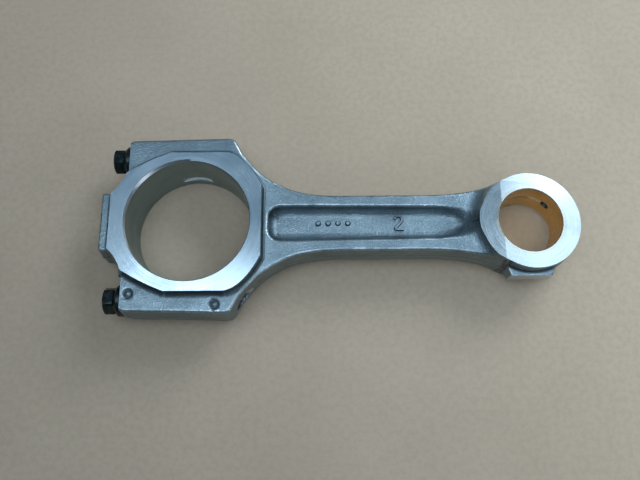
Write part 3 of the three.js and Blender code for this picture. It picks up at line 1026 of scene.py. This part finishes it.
def make_rod(step):
    rod = forged_blank("rod_forging", (-3, EYE_X + EYE_R + 4), step)
    combined(rod, "UNION", *date_marks())
    cut(rod, block("rod_side", (JOINT_GAP, 400), (-80, 80), (-40, 40)), keep_common=True)
    cut(rod, *face_mills(), *eye_mills())
    cut(rod, bore_cutter(BIG_BORE_R, HALF, ROD_CHAMFER))
    cut(rod, bore_cutter(BUSH_R + 0.02, EYE_HALF, 0.0, CENTRES))
    for side in (-1, 1):
        spot_face = drill(SPOT_FACE_R, SPOT_FACE_X, 60, side * BOLT_Y)
        cut(rod, tapped_cutter(side * BOLT_Y), counterbore(side), spot_face)
    pad_mill = block("mill", (190, 232), (EYE_PAD_Y - 6, EYE_PAD_Y), (-12, 12))
    return cut(rod, tang_cutter(), oil_drill(BUSH_R - 2, EYE_R + 8), pad_mill)


def make_cap(step):
    cap = forged_blank("cap_forging", (CAP_PAD_X - 3, 3), step)
    cut(cap, block("cap_side", (-200, -JOINT_GAP), (-80, 80), (-40, 40)), keep_common=True)
    cut(cap, *face_mills(), bore_cutter(BIG_BORE_R, HALF, CAP_EDGE_BREAK))
    inset = 1.2                  # keeps the chamfer's cutter clear of the bore's wall
    cut(cap, bore_cutter(BIG_BORE_R - inset, HALF, CAP_CHAMFER + inset, *CHAMFER_SHIFT))
    for side in (-1, 1):
        clearance = drill(CLEARANCE_R, SEAT_X - 25, 2, side * BOLT_Y)
        cut(cap, clearance, counterbore(side), seat_cutter(side))
    nick = block("nick", (-6.6, -1.2), (-62, -57.2), (-4.3, -3.3))
    return cut(cap, tang_cutter(), nick)


def make_bolt(name, side):
    """Chamfered hexagon on a conical flange, necked shank, rolled thread."""
    y = side * BOLT_Y
    seat = SEAT_X - 0.05
    stem = threaded(name, [
        (HEX_START_X - 2, 6.8), (HEX_START_X, 7.1), (HEX_START_X + 0.5, 7.5),
        (-43.3, FLANGE_R - 0.35), (-42.9, FLANGE_R), (seat - 0.4, FLANGE_R),
        (seat, FLANGE_R - 0.4), (seat + 0.001, 6.4), (seat + 0.5, SHANK_R), (-24, SHANK_R),
        (-22.5, NECK_R), (THREAD_START_X - 1.5, NECK_R), (THREAD_START_X, THREAD_R),
        (BOLT_END_X - 1.1, THREAD_R), (BOLT_END_X, BOLT_END_R),
    ], THREAD_R, THREAD_DEPTH, THREAD_START_X - 0.6, BOLT_END_X - 0.02, y, 96)
    corner = HEX_FLATS / math.sqrt(3)
    length = HEX_START_X + 0.8 - BOLT_HEAD_X
    hexagon = revolved("hexagon", [(0, 0), (corner, 0), (corner, length), (0, length)], 6,
                       (BOLT_HEAD_X, y, 0), along="x", phase=math.pi / 2 + HEX_TURN)
    envelope = revolved("envelope", [
        (0, 0), (4.6, 0), (5.0, 0.45), (HEX_FLATS / 2 - 0.9, 0.05), (HEX_FLATS / 2 - 0.35, 0.2),
        (corner + 0.2, 1.35), (corner + 0.2, length), (0, length)], 144,
        (BOLT_HEAD_X, y, 0), along="x")
    cut(hexagon, envelope, keep_common=True)
    bevel = hexagon.modifiers.new("edge", "BEVEL")
    bevel.width, bevel.segments, bevel.limit_method = 0.00025, 2, "ANGLE"
    bevel.angle_limit = math.radians(25)
    applied(hexagon)
    return combined(stem, "UNION", hexagon)


def make_dowel(name, side):
    lead = 0.45
    return revolved(name, [
        (DOWEL_BORE_R + 0.3, -DOWEL_HALF), (DOWEL_R - lead, -DOWEL_HALF),
        (DOWEL_R, -DOWEL_HALF + 1.1), (DOWEL_R, DOWEL_HALF - 1.1),
        (DOWEL_R - lead, DOWEL_HALF), (DOWEL_BORE_R + 0.3, DOWEL_HALF),
        (DOWEL_BORE_R, DOWEL_HALF - 0.4), (DOWEL_BORE_R, -DOWEL_HALF + 0.4),
    ], 96, (0, side * BOLT_Y, 0), along="x")


def bush_chamfers():
    """Cones square to the tapered faces that break the bush's inner edges."""
    mouth = EYE_HALF - TAPER * (CENTRES - TAPER_START)
    made = []
    reach, edge_r = 3, BUSH_BORE_R + BUSH_CHAMFER
    for side in (-1, 1):
        inner, outer = side * (mouth - reach), side * (mouth + reach)
        cone = revolved("cone", [(0, inner), (edge_r - reach, inner), (edge_r + reach, outer),
                                 (0, outer)], 192, (CENTRES, 0, 0))
        lean = Matrix.Rotation(side * math.atan(TAPER), 4, "Y")
        pivot = Matrix.Translation(Vector(place([CENTRES, 0, side * mouth])))
        cone.data.transform(pivot @ lean @ pivot.inverted())
        made.append(cone)
    return made


def make_bush():
    """Steel-backed bronze, faced off with the eye, with its oil hole and groove."""
    bush = revolved("pin_bush", [
        (BUSH_BORE_R, -EYE_HALF - 2), (BUSH_R, -EYE_HALF - 2),
        (BUSH_R, EYE_HALF + 2), (BUSH_BORE_R, EYE_HALF + 2)], 256, (CENTRES, 0, 0))
    cut(bush, *eye_mills(), *bush_chamfers())
    bottom = BUSH_BORE_R + GROOVE_DEPTH
    groove = revolved("groove", [
        (BUSH_BORE_R - 3, -GROOVE_HALF), (bottom - 0.25, -GROOVE_HALF), (bottom, -1.2),
        (bottom, 1.2), (bottom - 0.25, GROOVE_HALF), (BUSH_BORE_R - 3, GROOVE_HALF)],
        256, (CENTRES, 0, 0))
    turns = OIL_HOLE_ANGLE + np.linspace(0, math.radians(84), 12)
    fan = [(CENTRES, 0)] + [(CENTRES + 30 * math.cos(t), 30 * math.sin(t)) for t in turns]
    cut(groove, prism("fan", fan, -4, 4, axis="z"), keep_common=True)
    return cut(bush, groove, oil_drill(BUSH_BORE_R - 4, BUSH_R + 4))


STEP = 0.75                     # the forging's mesh spacing, mm
forged = forged_skin()
big_face = ground_face("ground_big_end", BIG_AXIS)
eye_face = ground_face("ground_small_end", EYE_AXIS, GROUND_EYE, 0.2)
bore_wall = bored_wall("bored_steel", BIG_AXIS, BORE_STEEL)
joint = joint_face()
# The raised marks' painted shade material.
scale = painted_mark_shade()
oxide = black_oxide()
steel = bored_wall("ground_steel", BIG_AXIS, DOWEL_STEEL, 0.22)
bronze = bored_wall("bronze", EYE_AXIS, BRONZE, 0.27, 0.3)
bush_steel = ground_face("bush_backing", EYE_AXIS, BUSH_BACKING, 0.22)

rod = make_rod(STEP)
cap = make_cap(STEP)
for item in (rod, cap):
    mark_bends(item)
    dress(item, [forged, big_face, eye_face, bore_wall, joint, scale], forged_kinds(item))

SIDES = {1: "upper", -1: "lower"}
bolts = {side: make_bolt(f"bolt_{name}", side) for side, name in SIDES.items()}
dowels = {side: make_dowel(f"dowel_{name}", side) for side, name in SIDES.items()}
bush = make_bush()
for item in bolts.values():
    dress(item, [oxide], np.zeros(len(item.data.polygons)))
for item in dowels.values():
    dress(item, [steel], np.zeros(len(item.data.polygons)))
backing_shows = np.abs(face_data(bush)[1][:, 2]) > 0.5
dress(bush, [bronze, bush_steel], backing_shows.astype(int))

for item, body, node, slot in (
    (rod, "rod", "connecting_rod", "forged_steel"),
    (cap, "cap", "bearing_cap", "forged_steel"),
    (bolts[1], "bolt_upper", "cap_bolt_upper", "black_oxide_steel"),
    (bolts[-1], "bolt_lower", "cap_bolt_lower", "black_oxide_steel"),
    (dowels[1], "rod", "dowel_sleeve_upper", "ground_steel"),
    (dowels[-1], "rod", "dowel_sleeve_lower", "ground_steel"),
    (bush, "rod", "small_end_bush", "bearing_bronze"),
):
    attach(item, body)
    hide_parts(node)

# ------------------------------------------------------------------------ floor, light


def floor():
    made = block("floor", (-1500, 1500), (-1500, 1500), (-HALF - 20, -HALF))
    made.data.materials.append(floor_paper())


DAYLIGHT = (0.84, 0.94, 1.05)
CAMERA_AT = [81.51, -127.82, 433.27 - HALF]
CAMERA_TURN = (0.2824, 0.0022, -0.0072)
CAMERA_LENS = 38.41
SKY_LOW = (0.72, 0.62, 0.48)
SKY_HIGH = (0.57, 0.84, 1.09)
SKY_STRENGTH = 0.22

# Name, place, aim, size, watts and turn in degrees; metres.
LIGHTS = [
    ("overhead", (-0.16, -0.19, 1.6), (-0.16, -0.18, 0), (1.25, 0.92), 8.5, -24),
    ("window", (0.95, 1.15, 1.1), (0.1, 0, 0), (0.9, 0.8), 14, 0),
    ("side", (0.73, 0.22, 0.85), (0.1, 0, 0), (0.5, 0.42), 1.0, 0),
    ("fill", (0.95, -0.8, 0.75), (0.05, 0, 0), (0.4, 0.4), 1.8, 0),
]


def soft_light(name, at, aim, size, power, turn):
    data = bpy.data.lights.new(name, "AREA")
    data.shape, data.size, data.size_y = "RECTANGLE", *size
    data.energy, data.color = power, DAYLIGHT
    made = bpy.data.objects.new(name, data)
    made.location = at
    facing = (Vector(aim) - Vector(at)).to_track_quat("-Z", "Y").to_matrix()
    made.rotation_euler = (facing @ Matrix.Rotation(math.radians(turn), 3, "Z")).to_euler()
    bpy.context.scene.collection.objects.link(made)


def camera():
    """Looks down on the rod, square to it, from in front of its near side."""
    data = bpy.data.cameras.new("camera")
    data.lens, data.sensor_width = CAMERA_LENS, 36
    data.clip_start, data.clip_end = 0.01, 20
    made = bpy.data.objects.new("camera", data)
    turn = Matrix.Identity(4)
    for angle, axis in zip(CAMERA_TURN, "XYZ"):
        turn = turn @ Matrix.Rotation(angle, 4, axis)
    made.matrix_world = Matrix.Translation(place(CAMERA_AT)) @ turn
    bpy.context.scene.collection.objects.link(made)
    bpy.context.scene.camera = made


def studio_world():
    """Dim blue surroundings: darker towards the horizon and on the cap's side."""
    made = bpy.data.worlds.new("studio")
    made.use_nodes = True
    tree = made.node_tree
    sky = tree.nodes["Background"]

    def node(kind, **settings):
        new = tree.nodes.new(kind)
        for key, value in settings.items():
            setattr(new, key, value)
        return new

    toward = node("ShaderNodeSeparateXYZ")
    tree.links.new(node("ShaderNodeTexCoord").outputs["Generated"], toward.inputs[0])
    shares = []
    for output, low, high, dimmest in (("Z", 0.0, 0.7, 0.0), ("Z", 0.05, 0.75, 0.3),
                                       ("X", -0.85, -0.25, 0.5)):
        share = node("ShaderNodeMapRange", interpolation_type="SMOOTHSTEP")
        tree.links.new(toward.outputs[output], share.inputs["Value"])
        for name, value in (("From Min", low), ("From Max", high), ("To Min", dimmest)):
            share.inputs[name].default_value = value
        shares.append(share.outputs["Result"])
    colour = node("ShaderNodeMix", data_type="RGBA")
    colour.inputs[6].default_value = (*SKY_LOW, 1)
    colour.inputs[7].default_value = (*SKY_HIGH, 1)
    tree.links.new(shares[0], colour.inputs[0])
    tree.links.new(colour.outputs[2], sky.inputs["Color"])
    both = node("ShaderNodeMath", operation="MULTIPLY")
    tree.links.new(shares[1], both.inputs[0])
    tree.links.new(shares[2], both.inputs[1])
    strength = node("ShaderNodeMath", operation="MULTIPLY")
    strength.inputs[1].default_value = SKY_STRENGTH
    tree.links.new(both.outputs[0], strength.inputs[0])
    tree.links.new(strength.outputs[0], sky.inputs["Strength"])
    return made


floor()
camera()
for light in LIGHTS:
    soft_light(*light)
bpy.context.scene.world = studio_world()
bpy.context.scene.view_settings.view_transform = "Standard"
